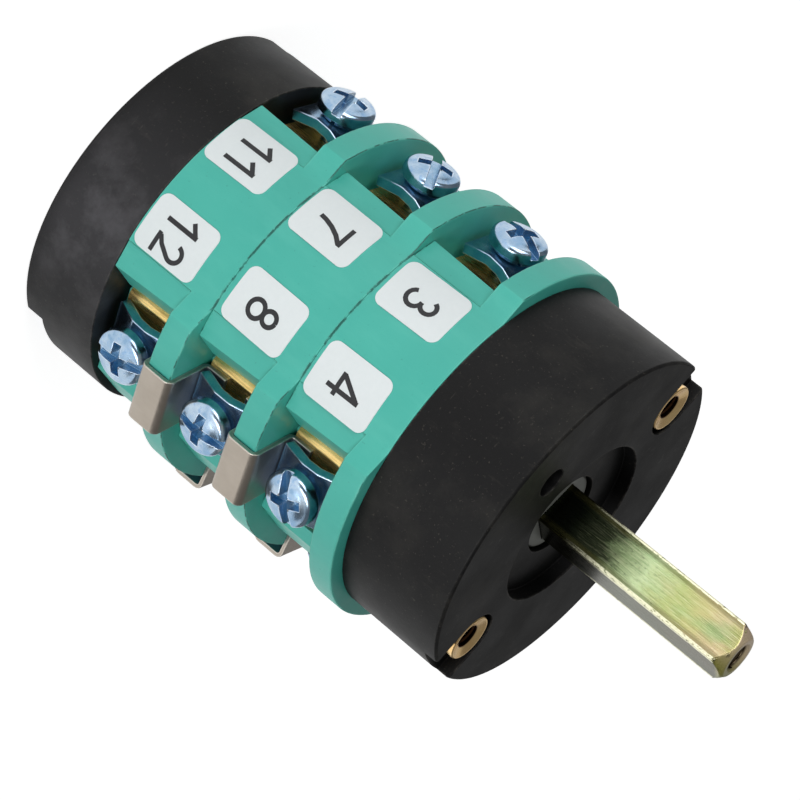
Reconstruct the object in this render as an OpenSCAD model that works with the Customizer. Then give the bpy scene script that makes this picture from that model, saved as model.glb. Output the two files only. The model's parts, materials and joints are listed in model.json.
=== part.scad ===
// Rotary cam switch with three contact blocks, stacked between a rear cap and a front housing.
// Z runs along the square shaft; the origin is the centre of the rear face, on which it stands.
// The side with the number labels faces -Y. Even terminals are on +X, odd ones on -X.

/* [Housing] */
// Radius of the round housing
housing_r = 31; // [30.5:0.1:32]
// Length of the rear cap
rear_cap_len = 15.4; // [14:0.1:18]
// Length of one contact block, which is also the pitch of the stack
block_pitch = 18.7; // [18.4:0.1:20]
// Length of the front housing
front_len = 20; // [19:0.5:24]
// How far a block's flange stands out past the housing
flange_step = 2.5; // [1.5:0.1:3]
// Thickness of a block's flange
flange_t = 4.8; // [4.2:0.1:5]
// Angle from the label side's middle where the flange starts to rise
flange_rise_start = 24.9; // [23:0.1:27]
// Angle from the label side's middle where the flange reaches its full height
flange_rise_end = 32.3; // [30:0.1:35]
// Depth of the flat on each side of a block
side_flat = 1.35; // [1:0.05:1.6]
// Half width of the label side at the rear end of a pocket
label_half_w = 17.2; // [17:0.1:17.6]
// Draft of the label side's end walls, over one pocket
label_draft = 0.5; // [0.2:0.1:0.7]
// Depth of the step down to the flat band beside each end wall of the label side
band_step = 0.15; // [0.05:0.05:0.3]
// Wall between the contact chamber and the outside
label_wall = 2.4; // [2:0.1:2.8]
// Bevel on the outer edges of the moulded parts
edge_bevel = 0.35; // [0.1:0.05:0.6]

/* [Front face] */
// Radius of the round recess in the front face
recess_r = 14.9; // [13:0.1:17]
// Depth of the recess and of the two slots
recess_depth = 2.5; // [2:0.1:3.2]
// Thickness of the housing under the recess
web_t = 7; // [6.5:0.1:7.3]
// Distance between the two mounting inserts
insert_spacing = 48; // [46:0.5:49]
// Outside radius of a mounting insert
insert_r = 4.1; // [3.8:0.1:4.3]
// Radius of the hole in a mounting insert
insert_hole_r = 2.1; // [1.9:0.05:2.3]
// Length of a mounting insert
insert_len = 14.4; // [13.6:0.1:16]
// How far an insert ends below the front face
insert_drop = 0.2; // [0.1:0.1:0.6]
// Depth of the countersink in a mounting insert
insert_cone = 0.9; // [0.3:0.1:1.2]
// Half width of the slots round the inserts and the bolt heads
slot_half_w = 4.8; // [4.6:0.1:5.2]
// Radius of the small blind hole in the front face
key_hole_r = 2.5; // [1.5:0.1:3]
// Distance of the small blind hole from the axis
key_hole_y = 21.1; // [19:0.1:24]
// Depth of the small blind hole
key_hole_depth = 3; // [1:0.5:5]

/* [Shaft] */
// Width across flats of the square shaft
shaft_w = 8; // [7.6:0.1:8.4]
// Length of the shaft in front of the front face
shaft_out = 34; // [20:1:50]
// Turn of the square about the axis, in degrees
shaft_turn = -8; // [-20:0.2:20]
// Radius to which the four long edges are rounded off
shaft_edge_r = 5.5; // [5.4:0.05:5.6]
// Length of the bevel at the free end
shaft_bevel = 2.1; // [0.5:0.1:3]
// Radius of the threaded hole in the shaft's end
shaft_hole_r = 2.1; // [1.5:0.05:2.5]
// Depth of the threaded hole in the shaft's end
shaft_hole_depth = 12; // [6:1:20]
// Radius of the round journal at the rear end
journal_r = 3.95; // [3.5:0.05:4]
// Radius of the bush's journal in the front bearing
bush_r = 6; // [5.9:0.05:6.3]
// Radius of the bush's disc
bush_disc_r = 7.1; // [6.8:0.1:7.6]
// Thickness of the bush's disc
bush_disc_t = 2.7; // [2:0.1:3]
// How far the bush's disc lies below the floor of the recess
bush_drop = 0.7; // [0.2:0.1:1]
// How far the shaft turns each way from its middle position
turn_limit = 45; // [30:1:45]

/* [Terminals] */
// Angle of a terminal's screw from the side of the block
terminal_angle = 40; // [38:0.5:42]
// Depth of a terminal's seat below the housing radius
seat_depth = 7.1; // [6.9:0.1:7.3]
// Depth of the ledge beside the seat below the housing radius
ledge_depth = 4.6; // [4.2:0.1:5]
// Distance of a screw from the terminal's own centre line, along the strip
screw_offset = 4.8; // [4.4:0.1:5.2]
// Height of the terminals above a block's rear face
terminal_z = 7; // [6.8:0.1:7.1]
// Thickness of the brass strip
strip_t = 1; // [0.8:0.1:1.1]
// Width of the brass strip
strip_w = 12.4; // [11:0.1:12.6]
// Where the strip ends, past the terminal's centre line
strip_end = 12; // [11:0.1:12.6]
// Radius of a terminal screw's shank
screw_r = 1.95; // [1.7:0.05:2.1]
// Length of a terminal screw's shank
screw_len = 10.8; // [9.5:0.1:11]
// Radius of a terminal screw's head
screw_head_r = 4.8; // [4.4:0.1:5]
// Height of a terminal screw's rim
screw_rim = 1.2; // [0.8:0.1:1.6]
// Radius of the shoulder between the rim and the dome of a terminal screw
screw_shoulder = 1; // [0.6:0.1:1.2]
// Height of the dome on a terminal screw's head
screw_dome = 0.8; // [0.5:0.1:1.2]
// Width of the slot and the cross in a screw's head
screw_slot_w = 1.4; // [1:0.1:1.6]
// Depth of the slot below a screw's shoulder
screw_slot_depth = 0.4; // [0.2:0.1:0.8]
// Length of the cross's short arm
screw_cross = 5.6; // [4.5:0.1:6.5]
// Length of a saddle washer along the strip
saddle_len = 10.6; // [9.8:0.1:11]
// Width of a saddle washer across the strip
saddle_w = 12.2; // [11.4:0.1:12.4]
// Thickness of a saddle washer
saddle_t = 1.8; // [1.5:0.1:2]
// Slope of a saddle washer's two sides, in degrees
saddle_slope = 18; // [15:0.5:20]
// Half width of a saddle washer's flat top
saddle_flat = 1.3; // [1:0.1:1.8]
// How far the rear end of a saddle washer is lifted where no jumper is clamped
loose_lift = 1.4; // [0:0.1:1.6]
// Outside radius of a spring washer
lock_r = 3.7; // [3.3:0.1:4]
// Thickness of a spring washer
lock_t = 1; // [0.7:0.1:1.2]
// Thickness of a jumper
jumper_t = 0.8; // [0.6:0.1:1]
// Width of a jumper
jumper_w = 11; // [9:0.5:11.5]
// Gap between a flange's rim and the jumper over it
jumper_gap = 0.2; // [0.15:0.05:0.4]

/* [Contacts] */
// Depth of a strip's inner face below the housing radius, inside the block
contact_depth = 14.7; // [14.5:0.05:14.8]
// Where the strip's inner end lies, from the middle of the block
contact_x = 5.5; // [5.2:0.1:5.8]
// Radius of a silver contact tip
tip_r = 1.8; // [1.4:0.1:2]
// Thickness of a silver contact tip
tip_t = 0.8; // [0.5:0.1:0.9]
// Thickness of the contact bridge
bridge_t = 1.2; // [0.8:0.1:1.4]
// Height of the contact bridge
bridge_h = 8; // [6:0.5:10]
// Width of a plunger
plunger_w = 8; // [7.2:0.1:8.2]
// Height of a plunger
plunger_h = 12; // [11:0.1:12.2]
// Radius of a plunger's nose
nose_r = 1.5; // [1:0.1:2]
// Travel of a plunger from the middle position to each end
plunger_travel = 1.5; // [1:0.1:1.6]
// Radius of the cam under a plunger in the middle position
cam_r = 9.8; // [9.6:0.1:10]
// Radius of the cams' hubs
hub_r = 6.6; // [6.3:0.1:6.8]
// Wire diameter of the springs
spring_wire = 0.6; // [0.4:0.05:0.8]
// Outside radius of a contact spring
spring_r = 3; // [2.6:0.1:3.4]
// Turns of a spring
spring_turns = 4; // [3:0.5:6]

/* [Detent] */
// Depth of a notch in the star wheel
notch_depth = 1.4; // [1:0.1:1.5]
// Radius of the star wheel's points
star_r = 9.3; // [9:0.1:9.6]
// Width of the star wheel
star_w = 6; // [5:0.5:6.5]
// Width of a detent slider
slider_w = 8; // [7:0.1:8.4]
// Length of a detent slider's straight part
slider_len = 6; // [5:0.5:7]
// Radius of a detent slider's nose
slider_nose_r = 1.4; // [1:0.1:1.4]
// Outside radius of a detent spring
detent_spring_r = 2.6; // [2.2:0.1:2.8]
// Radius of the stop plate
stop_r = 9; // [8:0.1:10]
// Radius of the stop plate's lug
stop_lug_r = 14.5; // [13:0.1:15.5]
// Half width of the stop plate's lug
stop_lug_w = 2; // [1.5:0.1:2.5]
// Thickness of the stop plate
stop_t = 1.8; // [1:0.1:2]

/* [Fits] */
// Radial running clearance of the two bearings
bearing_gap = 0.05; // [0.02:0.01:0.08]
// Clearance of sliding and seated pieces in the plastic
seat_gap = 0.05; // [0.03:0.01:0.1]
// Clearance of a guided piece in its channel
guide_gap = 0.1; // [0.05:0.01:0.2]
// Clearance between pieces that pass each other
pass_gap = 0.3; // [0.2:0.05:0.4]
// Radius of a tie bolt
bolt_r = 2.4; // [2.2:0.05:2.5]
// Radial clearance round a tie bolt
bolt_gap = 0.35; // [0.2:0.05:0.5]
// Radius of a tie bolt's head
bolt_head_r = 4.2; // [3.8:0.1:4.4]
// Height of a tie bolt's head
bolt_head_h = 2.7; // [2:0.1:2.8]
// Length of a tie bolt inside its insert
bolt_grip = 5; // [4:0.1:5.2]
// Width of the slot in a tie bolt's head
bolt_slot_w = 1.2; // [0.8:0.1:1.6]
// Depth of the slots for the bolt heads in the rear face
rear_slot_depth = 3.3; // [3:0.1:4]

/* [Hidden] */
$fn = 64;
BLOCKS = ["rear", "middle", "front"];
PAIRS = ["1_2", "3_4", "5_6", "7_8", "9_10", "11_12"];
JUMPERS = [[4, 8], [8, 12], [2, 6], [6, 10], [1, 5], [5, 9]];

// Turn of the slot in the head of each screw, from terminal 1 on
SLOT_TURNS = [34, 150, 21, 110, 95, 165, 60, 0, 128, 46, 76, 12];

green = [0.2, 0.66, 0.56];
black = [0.1, 0.1, 0.11];
zinc = [0.78, 0.8, 0.84];
yellow_zinc = [0.68, 0.66, 0.42];
brass = [0.82, 0.66, 0.3];
copper = [0.72, 0.45, 0.3];
nickel = [0.72, 0.68, 0.62];
grey = [0.7, 0.7, 0.7];
white = [0.9, 0.9, 0.88];

// Stack
flange_r = housing_r + flange_step;
flat_x = housing_r - side_flat;
pocket_len = block_pitch - flange_t;
front_z = rear_cap_len + 3 * block_pitch;
face_z = front_z + front_len;
floor_z = face_z - recess_depth;
web_z = floor_z - web_t;
bolt_x = insert_spacing / 2;
bolt_hole_r = bolt_r + bolt_gap;
boss_wall = 2.7;
boss_r = insert_r + boss_wall;
insert_z = face_z - insert_drop - insert_len;
cavity_wall = 3;
cavity_r = housing_r - cavity_wall;
far = 2 * housing_r;
tall = face_z + shaft_out + 1;

// Terminals, in the terminal's own frame: distance out from the axis, then along the strip
seat_n = housing_r - seat_depth;
ledge_n = housing_r - ledge_depth;
strip_n = seat_n + strip_t;
strip_z = terminal_z - strip_w / 2;
bend_r = 0.8;
chamber_x = label_half_w - label_draft - 1.9;
chamber_r = housing_r - label_wall;
chamber_depth = strip_z + strip_w + 2 * seat_gap;
saddle_end_n = strip_n + saddle_t / 2 * cos(saddle_slope);
saddle_half = saddle_w / 2 - saddle_t / 2 * sin(saddle_slope);
saddle_rise = (saddle_half - saddle_flat) * tan(saddle_slope);
saddle_top = saddle_end_n + saddle_rise + saddle_t / 2;
saddle_hole_r = screw_r + 0.45;
screw_hole_depth = 7.2;

// Contacts and cams
contact_y = housing_r - contact_depth;
shelf_y = contact_y - seat_gap;
tip_x = contact_x + tip_r;
tip_face_y = contact_y + strip_t + tip_t;
contact_open = plunger_travel + 0.1;
bridge_y = tip_face_y + contact_open + tip_t;
bridge_half = tip_x + tip_r + 0.1;
post_r = 1.5;
post_y = chamber_r - plunger_travel - 1.6;
nose_y = cam_r + pass_gap / 2;
cam_rate = plunger_travel / turn_limit;
cam_side = 60;
quarter = 90;
cam_top_r = cam_r + cam_rate * cam_side;
cam_cavity_r = cam_top_r + 0.8;
cam_z = pass_gap;
hub_hole_r = hub_r + 0.4;

// Rear bearing and shaft
rear_bearing_z = rear_cap_len - 2.5;
journal_end = 5;
shaft_end = face_z + shaft_out;
square_gap = 0.05;
cap_floor = 4;
cap_cavity_r = 17;
bearing_wall = 3.5;
bush_z = floor_z - bush_drop - bush_disc_t;
bush_disc_gap = 0.2;
stop_z = web_z - 0.2 - stop_t;
bearing_top = bush_z - 0.2;

// Detent
star_z = front_z + 1.5;
star_steps = 8;
notch_r = star_r - notch_depth;
slider_lift = notch_depth + 0.2;
slider_z = front_z + pass_gap;
slider_h = stop_z - pass_gap - slider_z;
slider_tip = notch_r + 0.1 + slider_lift;
slider_y = slider_tip + slider_nose_r + 2;
slider_back = slider_y + slider_len;
guide_rib = 2;
detent_pocket = 4;
stop_play = 0.5;
stop_block_w = 3;

// Point at n outward and t along the strip, for the terminal on +X and -Y
function at(n, t) = [
    n * cos(terminal_angle) + t * sin(terminal_angle),
    -n * sin(terminal_angle) + t * cos(terminal_angle)
];

// Along the strip, where the line n outward meets the line x = x0
function along(n, x0) = (x0 - n * cos(terminal_angle)) / sin(terminal_angle);

function block_z(b) = rear_cap_len + b * block_pitch;

function unit(v) = v / norm(v);

// Arc of radius r in the corner b between a and c, in n steps
function corner(a, b, c, r, n) =
    let (u = unit(a - b), v = unit(c - b), half = acos(u * v) / 2)
    let (centre = b + unit(u + v) * r / sin(half))
    let (first = b + u * r / tan(half) - centre, last = b + v * r / tan(half) - centre)
    let (a0 = atan2(first[1], first[0]), da = atan2(last[1], last[0]) - a0)
    let (turn = da > 180 ? da - 360 : da < -180 ? da + 360 : da)
    [for (i = [0:n]) centre + r * [cos(a0 + turn * i / n), sin(a0 + turn * i / n)]];

// The path p with each of its inner corners rounded
function rounded(p, r, n = 5) = [
    p[0],
    for (i = [1:len(p) - 2]) each corner(p[i - 1], p[i], p[i + 1], r, n),
    p[len(p) - 1]
];

// Sideways vector of the path p at its point i, long enough to keep the sheet's thickness
function side(p, i) =
    let (last = len(p) - 1)
    let (before = unit(p[max(i, 1)] - p[max(i, 1) - 1]))
    let (after = unit(p[min(i + 1, last)] - p[min(i, last - 1)]))
    let (mean = unit(before + after))
    [-mean[1], mean[0]] / (mean * after);

// Outline of a sheet of thickness t whose middle follows the path p
function sheet(p, t) = concat(
    [for (i = [0:len(p) - 1]) p[i] + side(p, i) * t / 2],
    [for (i = [len(p) - 1:-1:0]) p[i] - side(p, i) * t / 2]
);

// Places what is drawn for terminal 4 at terminal k, without its height
module corner_of(k) {
    mirror([k % 2, 0, 0])
    mirror([0, (k - 1) % 4 < 2 ? 1 : 0, 0])
    children();
}

// Places what is drawn for terminal 4 of a block that starts at z = 0 at terminal k
module at_terminal(k) {
    translate([0, 0, block_z(2 - floor((k - 1) / 4))])
    corner_of(k)
    children();
}

module all_corners() {
    for (k = [1:4]) corner_of(k) children();
}

// From the terminal's own frame, out and along the strip, to the part's
module outward() {
    rotate([0, 0, -terminal_angle]) children();
}

// Places a contact pair that is drawn on the +Y side of a block that starts at z = 0
module at_pair(p) {
    translate([0, 0, block_z(2 - floor(p / 2))])
    mirror([0, p % 2, 0])
    children();
}

module sides() {
    for (s = [0, 1]) mirror([s, 0, 0]) children();
}

// Hole along Z at each tie bolt
module bolt_holes(z, h, r) {
    sides() translate([bolt_x, 0, z]) cylinder(r = r, h = h);
}

// Slot from the rim to a round end about each tie bolt
module rim_slots(z, h) {
    sides() translate([bolt_x, 0, z]) {
        cylinder(r = slot_half_w, h = h);
        translate([0, -slot_half_w, 0]) cube([far, 2 * slot_half_w, h]);
    }
}

// Disc from z = 0 to h with a bevelled rim at either end
module bevelled_disc(r, h, low, high) {
    rotate_extrude()
    polygon([[0, 0], [r - low, 0], [r, low], [r, h - high], [r - high, h], [0, h]]);
}

module square_bar(w, r, z, h) {
    translate([0, 0, z])
    intersection() {
        rotate([0, 0, shaft_turn]) translate([-w / 2, -w / 2, 0]) cube([w, w, h]);
        cylinder(r = r, h = h);
    }
}

module square_hole(z, h) {
    square_bar(shaft_w + 2 * square_gap, shaft_edge_r + square_gap, z - 1, h + 2);
}

// Closed tube of a coil spring that stands on z = 0
module coil(r, h, turns) {
    steps = ceil(turns * 12);
    ring = 6;
    mid_r = r - spring_wire / 2;
    rise = h - spring_wire;
    spine = [for (i = [0:steps]) [360 * turns * i / steps, spring_wire / 2 + rise * i / steps]];
    points = [
        for (s = spine) for (j = [0:ring - 1])
        let (q = 360 * j / ring, d = mid_r + spring_wire / 2 * cos(q))
        [d * cos(s[0]), d * sin(s[0]), s[1] + spring_wire / 2 * sin(q)]
    ];
    walls = [
        for (i = [0:steps - 1]) for (j = [0:ring - 1])
        let (a = i * ring + j, b = i * ring + (j + 1) % ring)
        each [[a, b, b + ring], [a, b + ring, a + ring]]
    ];
    first_end = [for (j = [ring - 1:-1:0]) j];
    last_end = [for (j = [0:ring - 1]) steps * ring + j];
    polyhedron(points, concat(walls, [first_end, last_end]), convexity = 10);
}

module rear_cap() {
    color(black)
    difference() {
        bevelled_disc(housing_r, rear_cap_len, edge_bevel, 0);
        difference() {
            translate([0, 0, cap_floor]) cylinder(r = cap_cavity_r, h = far);
            cylinder(r = journal_r + bearing_wall, h = rear_bearing_z);
        }
        translate([0, 0, journal_end - 0.5]) cylinder(r = journal_r + bearing_gap, h = far);
        rim_slots(-1, rear_slot_depth + 1);
        bolt_holes(0, far, bolt_hole_r);
    }
}

// Space for one terminal, beside the label side
module pocket() {
    x0 = label_half_w - label_draft - 0.5;
    intersection() {
        translate([0, 0, -1])
        linear_extrude(pocket_len + 1)
        polygon([
            at(seat_n, along(seat_n, x0)),
            at(seat_n, strip_end),
            at(ledge_n, strip_end),
            at(ledge_n, along(ledge_n, flat_x)),
            [far, at(ledge_n, along(ledge_n, flat_x))[1]],
            [far, -far],
            [x0, -far]
        ]);
        rotate([90, 0, 0])
        linear_extrude(far)
        polygon([
            [label_half_w, -1],
            [far, -1],
            [far, pocket_len],
            [label_half_w - label_draft, pocket_len],
            [label_half_w, 0]
        ]);
    }
}

// Cut that lets the label side run through the flange at the housing's own radius
module label_gap() {
    low = housing_r * [sin(flange_rise_start), cos(flange_rise_start)];
    high = flange_r * [sin(flange_rise_end), cos(flange_rise_end)];
    difference() {
        linear_extrude(flange_t + 2)
        polygon([[-low[0], low[1]], low, high, 1.5 * high, 1.5 * [-high[0], high[1]], [-high[0], high[1]]]);
        cylinder(r = housing_r, h = flange_t + 2);
    }
}

// What is cut out of a block for the strips, the bridge and the plunger of one contact pair
module contact_space() {
    translate([-chamber_x, shelf_y, -1])
    cube([2 * chamber_x, far, chamber_depth + 1]);
    half = plunger_w / 2 + guide_gap;
    translate([-half, 0, -1])
    cube([2 * half, far, cam_z + plunger_h + pass_gap + 1]);
}

// Cut that leaves a flat band between the round label side and its end wall
module label_band() {
    a = [flange_rise_start, asin(label_half_w / housing_r)];
    first = [sin(a[0]), -cos(a[0])];
    last = [sin(a[1]), -cos(a[1])];
    r = housing_r - band_step;
    translate([0, 0, -1])
    linear_extrude(pocket_len + 1)
    polygon([r * first, r * (2 * last - first), far * last, 2 * r * first]);
}

module contact_block(b) {
    color(green)
    translate([0, 0, block_z(b)])
    difference() {
        union() {
            difference() {
                cylinder(r = housing_r, h = pocket_len);
                sides() translate([flat_x, -far, -1]) cube([far, 2 * far, far]);
                all_corners() {
                    pocket();
                    label_band();
                }
            }
            translate([0, 0, pocket_len])
            difference() {
                bevelled_disc(flange_r, flange_t, edge_bevel / 2, edge_bevel / 2);
                for (s = [0, 1]) mirror([0, s, 0]) translate([0, 0, -1]) label_gap();
            }
        }
        intersection() {
            translate([0, 0, -1]) cylinder(r = chamber_r, h = chamber_depth + 1);
            for (s = [0, 1]) mirror([0, s, 0]) contact_space();
        }
        translate([0, 0, -1]) cylinder(r = cam_cavity_r, h = cam_z + plunger_h + pass_gap + 1);
        cylinder(r = hub_hole_r, h = far);
        bolt_holes(-1, far, bolt_hole_r);
        all_corners() {
            strip_slot();
            outward()
            translate([seat_n - screw_hole_depth, screw_offset, terminal_z])
            rotate([0, 90, 0])
            cylinder(r = saddle_hole_r, h = housing_r);
        }
    }
}

// Slot in the end wall of the label side, through which a strip enters the block
module strip_slot() {
    bend_t = (seat_n * sin(terminal_angle) - contact_y) / cos(terminal_angle);
    bend_x = at(seat_n, bend_t)[0];
    slot_h = strip_z + strip_w + seat_gap + 1;
    translate([chamber_x - 1, -contact_y - strip_t - seat_gap, -1])
    cube([bend_x - chamber_x + 1 + seat_gap, strip_t + 2 * seat_gap, slot_h]);
    outward()
    translate([seat_n, bend_t, -1])
    cube([strip_t + seat_gap, strip_end - bend_t, slot_h]);
}

module terminal(k) {
    color(brass)
    at_terminal(k)
    difference() {
        union() {
            translate([0, 0, strip_z])
            linear_extrude(strip_w)
            polygon(sheet(rounded(strip_path(), bend_r), strip_t));
            translate([tip_x, -contact_y - strip_t, terminal_z])
            rotate([90, 0, 0])
            cylinder(r = tip_r, h = tip_t);
        }
        outward()
        translate([seat_n - 1, screw_offset, terminal_z])
        rotate([0, 90, 0])
        cylinder(r = screw_r + seat_gap, h = strip_t + 2);
    }
}

// Middle of a strip, from its inner end round the bend to its outer end
function strip_path() =
    let (n = seat_n + strip_t / 2, y = contact_y + strip_t / 2)
    [
        [contact_x, -y],
        at(n, (n * sin(terminal_angle) - y) / cos(terminal_angle)),
        at(n, strip_end)
    ];

// How far the two ends of terminal k's saddle washer stand above the strip,
// on a jumper's foot or loose where the terminal has no jumper
function is_jumped(k, other) =
    len([for (j = JUMPERS) if ((j[0] == k && j[1] == other) || (j[1] == k && j[0] == other)) j]) > 0;
function is_loose(k) = !is_jumped(k, k + 4) && !is_jumped(k, k - 4);
function lift_rear(k) = is_loose(k) ? loose_lift : is_jumped(k, k + 4) ? jumper_t : 0;
function lift_front(k) = is_loose(k) ? (k > 8 ? loose_lift / 2 : 0) : is_jumped(k, k - 4) ? jumper_t : 0;
function lift(k) = (lift_rear(k) + lift_front(k)) / 2;
function tilt(k) = asin((lift_rear(k) - lift_front(k)) / (2 * saddle_half));
function lock_n(k) = saddle_top + lift(k) + (saddle_flat + 0.3) * abs(sin(tilt(k))) + 0.02;

module saddle_washer(k) {
    at_terminal(k)
    outward()
    translate([0, 0, terminal_z])
    difference() {
        translate([saddle_end_n + lift(k), screw_offset + saddle_len / 2, 0])
        rotate([90, 0, 0])
        linear_extrude(saddle_len)
        rotate(tilt(k))
        polygon(sheet(rounded([
            [0, -saddle_half],
            [saddle_rise, -saddle_flat],
            [saddle_rise, saddle_flat],
            [0, saddle_half]
        ], 1.5), saddle_t));
        translate([strip_n - 1, screw_offset, 0])
        rotate([0, 90, 0])
        cylinder(r = saddle_hole_r, h = housing_r);
    }
}

module saddle_washers() {
    color(zinc)
    for (k = [1:12]) saddle_washer(k);
}

module spring_washers() {
    color(zinc)
    for (k = [1:12])
    at_terminal(k)
    outward()
    translate([lock_n(k), screw_offset, terminal_z])
    rotate([0, 90, 0])
    difference() {
        cylinder(r = lock_r, h = lock_t);
        translate([0, 0, -1]) cylinder(r = screw_r + 0.2, h = lock_t + 2);
        rotate(70 + 50 * k) translate([0, -0.3, -1]) cube([far, 0.6, lock_t + 2]);
    }
}

// Outline of a terminal screw: its shank, the rim, the round shoulder and the dome
function screw_outline() =
    let (top = screw_len + screw_rim + screw_shoulder, flat_r = screw_head_r - screw_shoulder)
    let (dome_r = (flat_r * flat_r + screw_dome * screw_dome) / (2 * screw_dome))
    let (dome_a = asin(flat_r / dome_r))
    concat(
        [[0, 0], [screw_r - 0.4, 0], [screw_r, 0.4], [screw_r, screw_len], [screw_head_r, screw_len]],
        [for (a = [0:15:75]) [flat_r + screw_shoulder * cos(a), top - screw_shoulder * (1 - sin(a))]],
        [
            for (i = [6:-1:0])
            let (a = dome_a * i / 6)
            [dome_r * sin(a), top + screw_dome - dome_r * (1 - cos(a))]
        ]
    );

module terminal_screw(k) {
    slot_z = screw_len + screw_rim + screw_shoulder - screw_slot_depth;
    at_terminal(k)
    outward()
    translate([lock_n(k) + lock_t - screw_len, screw_offset, terminal_z])
    rotate([0, 90, 0])
    difference() {
        rotate_extrude() polygon(screw_outline());
        rotate(SLOT_TURNS[k - 1]) {
            translate([-far / 2, -screw_slot_w / 2, slot_z]) cube([far, screw_slot_w, far]);
            translate([-screw_slot_w / 2, -screw_cross / 2, slot_z]) cube([screw_slot_w, screw_cross, far]);
        }
    }
}

module terminal_screws() {
    color(zinc)
    for (k = [1:12]) terminal_screw(k);
}

// Jumper over the flange between terminals j[0] and j[1]; each foot ends beside a screw
module jumper(j) {
    low = pocket_len - jumper_t / 2;
    high = block_pitch + jumper_t / 2;
    reach = screw_r + pass_gap;
    foot_n = strip_n + jumper_t / 2;
    web_n = flange_r + jumper_gap + jumper_t / 2;
    color(nickel)
    at_terminal(j[1])
    outward()
    translate([0, screw_offset + jumper_w / 2, 0])
    rotate([90, 0, 0])
    linear_extrude(jumper_w)
    polygon(sheet(rounded([
        [foot_n, terminal_z + reach],
        [foot_n, low],
        [web_n, low],
        [web_n, high],
        [foot_n, high],
        [foot_n, block_pitch + terminal_z - reach]
    ], 0.9, 4), jumper_t));
}

// Cam whose radius under a plunger changes evenly with the turn; it stands on z = 0
module cam(b) {
    shape = [
        for (a = [-178:4:178])
        let (off = min(abs(abs(a) - quarter), cam_side) * (abs(a) < quarter ? 1 : -1))
        (cam_r + cam_rate * off) * [cos(a), sin(a)]
    ];
    hub_end = b == 0 ? rear_bearing_z + pass_gap - rear_cap_len : 0;
    color(white)
    translate([0, 0, block_z(b)])
    difference() {
        union() {
            translate([0, 0, hub_end]) cylinder(r = hub_r, h = block_pitch - hub_end);
            translate([0, 0, cam_z]) linear_extrude(plunger_h) polygon(shape);
        }
        square_hole(hub_end, block_pitch - hub_end);
    }
}

module plunger(p) {
    slope = nose_y + nose_r;
    color(black)
    at_pair(p) {
        translate([0, 0, cam_z])
        linear_extrude(plunger_h) {
            translate([-plunger_w / 2, slope + 1]) square([plunger_w, bridge_y - slope - 1]);
            polygon([
                [-plunger_w / 2, slope + 1],
                [-nose_r, slope],
                [nose_r, slope],
                [plunger_w / 2, slope + 1]
            ]);
            translate([0, slope]) circle(nose_r);
        }
        translate([0, post_y, terminal_z])
        rotate([90, 0, 0])
        cylinder(r = post_r, h = post_y - bridge_y + 1);
    }
}

module contact_bridge(p) {
    color(copper)
    at_pair(p)
    translate([0, bridge_y, terminal_z])
    rotate([-90, 0, 0])
    difference() {
        union() {
            translate([-bridge_half, -bridge_h / 2, 0]) cube([2 * bridge_half, bridge_h, bridge_t]);
            sides() translate([tip_x, 0, -tip_t]) cylinder(r = tip_r, h = tip_t);
        }
        translate([0, 0, -1]) cylinder(r = post_r + guide_gap, h = bridge_t + 2);
    }
}

module contact_spring(p) {
    seat = bridge_y + bridge_t + seat_gap;
    wall = sqrt(chamber_r * chamber_r - spring_r * spring_r) - seat_gap;
    color(zinc)
    at_pair(p)
    translate([0, seat, terminal_z])
    rotate([-90, 0, 0])
    coil(spring_r, wall - seat, spring_turns);
}

module front_housing() {
    color(black)
    difference() {
        translate([0, 0, front_z]) bevelled_disc(housing_r, front_len, 0, edge_bevel);
        difference() {
            cylinder(r = cavity_r, h = web_z);
            sides() translate([bolt_x, 0, 0]) cylinder(r = boss_r, h = web_z);
            slider_guides();
            fixed_stops();
        }
        translate([0, 0, floor_z]) cylinder(r = recess_r, h = tall);
        translate([0, 0, bearing_top]) cylinder(r = bush_disc_r + bush_disc_gap, h = tall);
        cylinder(r = bush_r + bearing_gap, h = tall);
        rim_slots(floor_z, tall);
        bolt_holes(0, tall, bolt_hole_r);
        bolt_holes(insert_z, tall, insert_r + seat_gap);
        translate([0, -key_hole_y, face_z - key_hole_depth]) cylinder(r = key_hole_r, h = tall);
    }
}

// Ribs on either side of each detent slider
module slider_guides() {
    inner = slider_y - 1.5;
    for (s = [0, 1]) mirror([0, s, 0])
    sides()
    translate([slider_w / 2 + guide_gap, inner, front_z])
    cube([guide_rib, far, web_z - front_z]);
}

// Blocks that the stop plate's lug meets at the two end positions
module fixed_stops() {
    for (s = [0, 1]) mirror([0, s, 0])
    rotate(turn_limit + stop_play)
    translate([stop_r + 1.5, stop_lug_w, stop_z - 0.2])
    cube([stop_lug_r - stop_r - 1, stop_block_w, web_z - stop_z + 0.2]);
}

// Threaded bushes; the rear end of each hole is as wide as the tie bolt that is screwed into it
module mounting_inserts() {
    top = insert_z + insert_len;
    lip = 0.2;
    color(copper)
    sides()
    translate([bolt_x, 0, 0])
    rotate_extrude()
    polygon([
        [bolt_r + seat_gap, insert_z],
        [insert_r, insert_z],
        [insert_r, top - lip],
        [insert_r - lip, top],
        [insert_r - 2 * lip, top],
        [insert_hole_r, top - insert_cone],
        [insert_hole_r, insert_z + bolt_grip],
        [bolt_r + seat_gap, insert_z + bolt_grip]
    ]);
}

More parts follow.
